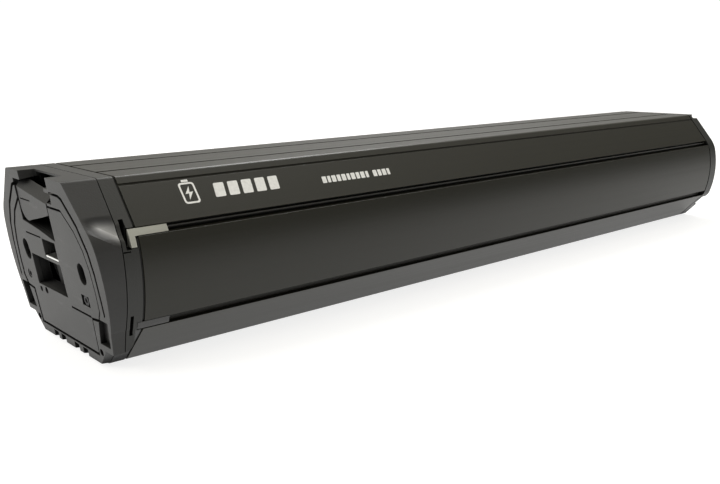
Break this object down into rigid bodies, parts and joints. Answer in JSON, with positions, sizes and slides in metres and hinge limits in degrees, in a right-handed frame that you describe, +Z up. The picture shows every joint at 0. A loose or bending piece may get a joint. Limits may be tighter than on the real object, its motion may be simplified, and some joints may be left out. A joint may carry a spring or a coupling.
{
  "type": "in-tube electric bicycle battery pack",
  "caption": "Long down-tube battery pack: black extruded tube, slanted near end cap with a sprung catch, connector and power button at the far end.",
  "frame": {"origin": "middle of the flat bottom, half way along the pack", "axes": "+X along the pack, from the slanted near end to the connector end; +Z up through the ribbed top; Y across"},
  "size_m": [0.416, 0.084, 0.065],
  "materials": {
    "anodised_tube": "satin black anodised extrusion",
    "cap_plastic": "fine matte grey black moulding",
    "collar_plastic": "fine matte black moulding",
    "clip_plastic": "matte light grey moulding",
    "seal_rubber": "soft black seal",
    "screw_steel": "plain steel",
    "black_steel": "blackened steel",
    "strike_steel": "bright pressed strip",
    "contact_brass": "plated contact",
    "nickel": "thin nickel strip",
    "membrane": "white breathable disc",
    "clear_plastic": "clear light guide",
    "smoked_window": "dark gloss window",
    "board_green": "coated circuit board",
    "chip_black": "moulded chip bodies",
    "spreader_metal": "bare aluminium",
    "fuse_body": "orange fuse body",
    "lead_red": "red insulation",
    "lead_black": "black insulation",
    "ribbon": "flat flexible cable",
    "holder_plastic": "moulded cell frame",
    "cell_wrap_a": "green shrink wrap",
    "cell_wrap_b": "blue shrink wrap",
    "insulator": "fibre sheet",
    "foam": "closed cell foam"
  },
  "bodies": {
    "pack": {"housing_tube": "anodised_tube", "near_collar": "collar_plastic", "near_collar_screws": "screw_steel", "near_gasket": "seal_rubber", "groove_clips": "clip_plastic", "near_cap": "cap_plastic", "face_plate": "cap_plastic", "face_plate_screws": "black_steel", "catch_pin": "screw_steel", "catch_spring": "screw_steel", "strike_plate": "strike_steel", "far_cap": "collar_plastic", "far_cap_screws": "screw_steel", "far_gasket": "seal_rubber", "connector_shroud": "collar_plastic", "power_blades": "contact_brass", "signal_pins": "contact_brass", "vent_membrane": "membrane", "light_guides": "clear_plastic", "display_window": "smoked_window", "switch_board": "board_green", "bms_board": "board_green", "bms_components": "chip_black", "heat_spreader": "spreader_metal", "main_fuse": "fuse_body", "positive_lead": "lead_red", "negative_lead": "lead_black", "sensor_ribbon": "ribbon", "cell_holders": "holder_plastic", "cell_bank_1": "cell_wrap_a", "cell_bank_2": "cell_wrap_b", "cell_bank_3": "cell_wrap_a", "cell_bank_4": "cell_wrap_b", "cell_bank_5": "cell_wrap_a", "nickel_links": "nickel", "insulating_sheets": "insulator", "foam_pads": "foam"},
    "catch": {"retaining_catch": "cap_plastic"},
    "button": {"power_button": "clip_plastic"}
  },
  "joints": [
    {"name": "catch_hinge", "type": "hinge", "parent": "pack", "child": "catch", "pos_m": [-0.20264, 0.0144, 0.05202], "axis": [0.9903, 0, 0.1392], "range_deg": [0, 10], "stiffness_Nm_per_rad": 0.3, "springref_deg": -5.73, "deforming": ["catch_spring"]},
    {"name": "button_slide", "type": "slide", "parent": "pack", "child": "button", "axis": [-1, 0, 0], "range_m": [0, 0.0012], "stiffness_N_per_m": 1500, "springref_m": -0.0004}
  ]
}
